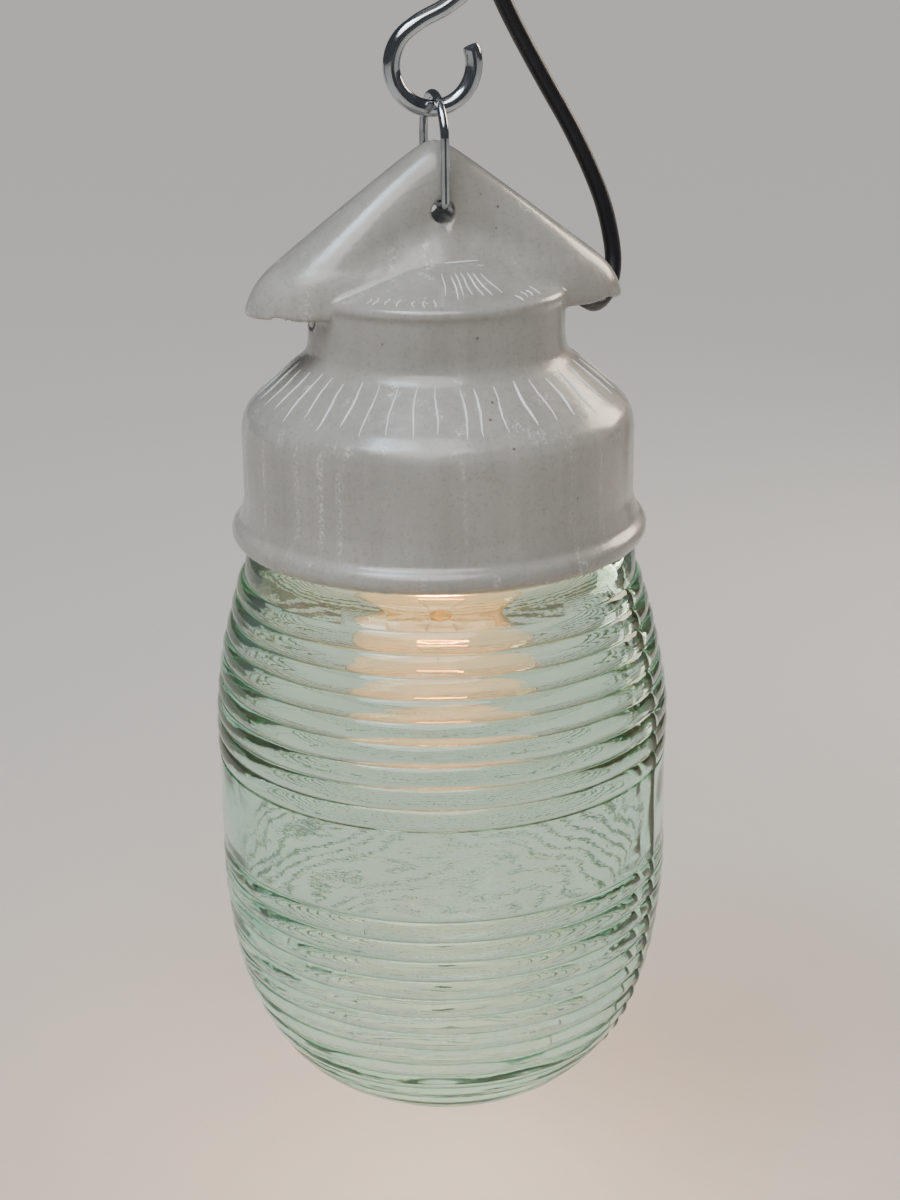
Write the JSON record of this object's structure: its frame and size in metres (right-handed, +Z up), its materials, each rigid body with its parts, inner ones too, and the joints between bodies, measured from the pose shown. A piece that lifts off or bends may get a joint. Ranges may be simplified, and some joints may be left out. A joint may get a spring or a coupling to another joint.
{
  "type": "barn lantern",
  "caption": "Porcelain barn lantern with a screw-on ribbed glass, hung by a wire bail and an S-hook from a ceiling eye, with its hanging cable.",
  "frame": {"origin": "centre of the ceiling plate's flat top face, where the lantern hangs from", "axes": "+Z up along the hanging line, X along the roof's ridge and the S-hook's plane with the cable on the +X side, Y along the bore, with the front at -Y"},
  "size_m": [0.1452, 0.1452, 0.397],
  "materials": {
    "porcelain": "off-white stoneware glaze with fine specks",
    "white_porcelain": "plain white glaze",
    "green_glass": "thick pressed pale green glass",
    "lamp_glass": "thin clear glass",
    "zinc": "bright zinc plate",
    "steel": "plain steel",
    "brass": "stamped brass",
    "black_cable": "satin black round cable sheath",
    "black_rubber": "matt rubber",
    "brown_core": "brown wire insulation",
    "blue_core": "blue wire insulation",
    "filament": "glowing tungsten wire"
  },
  "bodies": {
    "root": {"ceiling_plate": "zinc", "ceiling_eye": "zinc", "plate_screw_front": "zinc", "plate_screw_rear": "zinc", "ceiling_cord_bush": "black_rubber", "cable_upper": "black_cable"},
    "s_hook": {"s_hook": "zinc", "cable_middle": "black_cable"},
    "bail": {"hanger_wire": "zinc"},
    "cap": {"porcelain_cap": "porcelain", "cable_grommet": "black_rubber", "blanking_plug": "porcelain", "holder_bracket": "steel", "bracket_bolt_front": "steel", "bracket_bolt_rear": "steel", "holder_screw_front": "steel", "holder_screw_rear": "steel", "lampholder_body": "white_porcelain", "holder_shell": "brass", "centre_contact": "brass", "side_contact": "brass", "terminal_line": "brass", "terminal_neutral": "brass", "terminal_screw_line": "steel", "terminal_screw_neutral": "steel", "core_line": "brown_core", "core_neutral": "blue_core", "cable_lower": "black_cable"},
    "seal": {"sealing_ring": "black_rubber"},
    "glass": {"glass_jar": "green_glass"},
    "lamp_tip": {"lamp_contact": "brass"},
    "lamp": {"lamp_envelope": "lamp_glass", "lamp_shell": "steel", "lamp_insulator": "black_rubber", "lamp_stem": "lamp_glass", "lamp_lead_left": "steel", "lamp_lead_right": "steel", "lamp_filament": "filament"}
  },
  "joints": [
    {"name": "hook_swing", "type": "hinge", "parent": "root", "child": "s_hook", "pos_m": [0, 0, -0.029], "axis": [0, 1, 0], "range_deg": [-20, 20], "deforming": ["cable_upper"]},
    {"name": "bail_swing", "type": "hinge", "parent": "s_hook", "child": "bail", "pos_m": [0, 0, -0.0772], "axis": [1, 0, 0], "range_deg": [-15, 15], "deforming": ["cable_middle"]},
    {"name": "cap_swing", "type": "hinge", "parent": "bail", "child": "cap", "pos_m": [0, 0, -0.1042], "axis": [0, 1, 0], "range_deg": [-15, 15], "deforming": ["cable_lower"]},
    {"name": "glass_drop", "type": "slide", "parent": "cap", "child": "seal", "axis": [0, 0, 1], "range_m": [-0.0151, 0]},
    {"name": "glass_turn", "type": "hinge", "parent": "seal", "child": "glass", "pos_m": [0, 0, -0.23], "axis": [0, 0, 1], "range_deg": [-540, 0]},
    {"name": "lamp_drop", "type": "slide", "parent": "cap", "child": "lamp_tip", "axis": [0, 0, 1], "range_m": [-0.0146, 0]},
    {"name": "lamp_turn", "type": "hinge", "parent": "lamp_tip", "child": "lamp", "pos_m": [0, 0, -0.2], "axis": [0, 0, 1], "range_deg": [-1440, 0]}
  ],
  "couplings": [
    {"joint": "glass_drop", "follows": "glass_turn", "m_per_rad": 0.0015915},
    {"joint": "lamp_drop", "follows": "lamp_turn", "m_per_rad": 0.00057614}
  ]
}
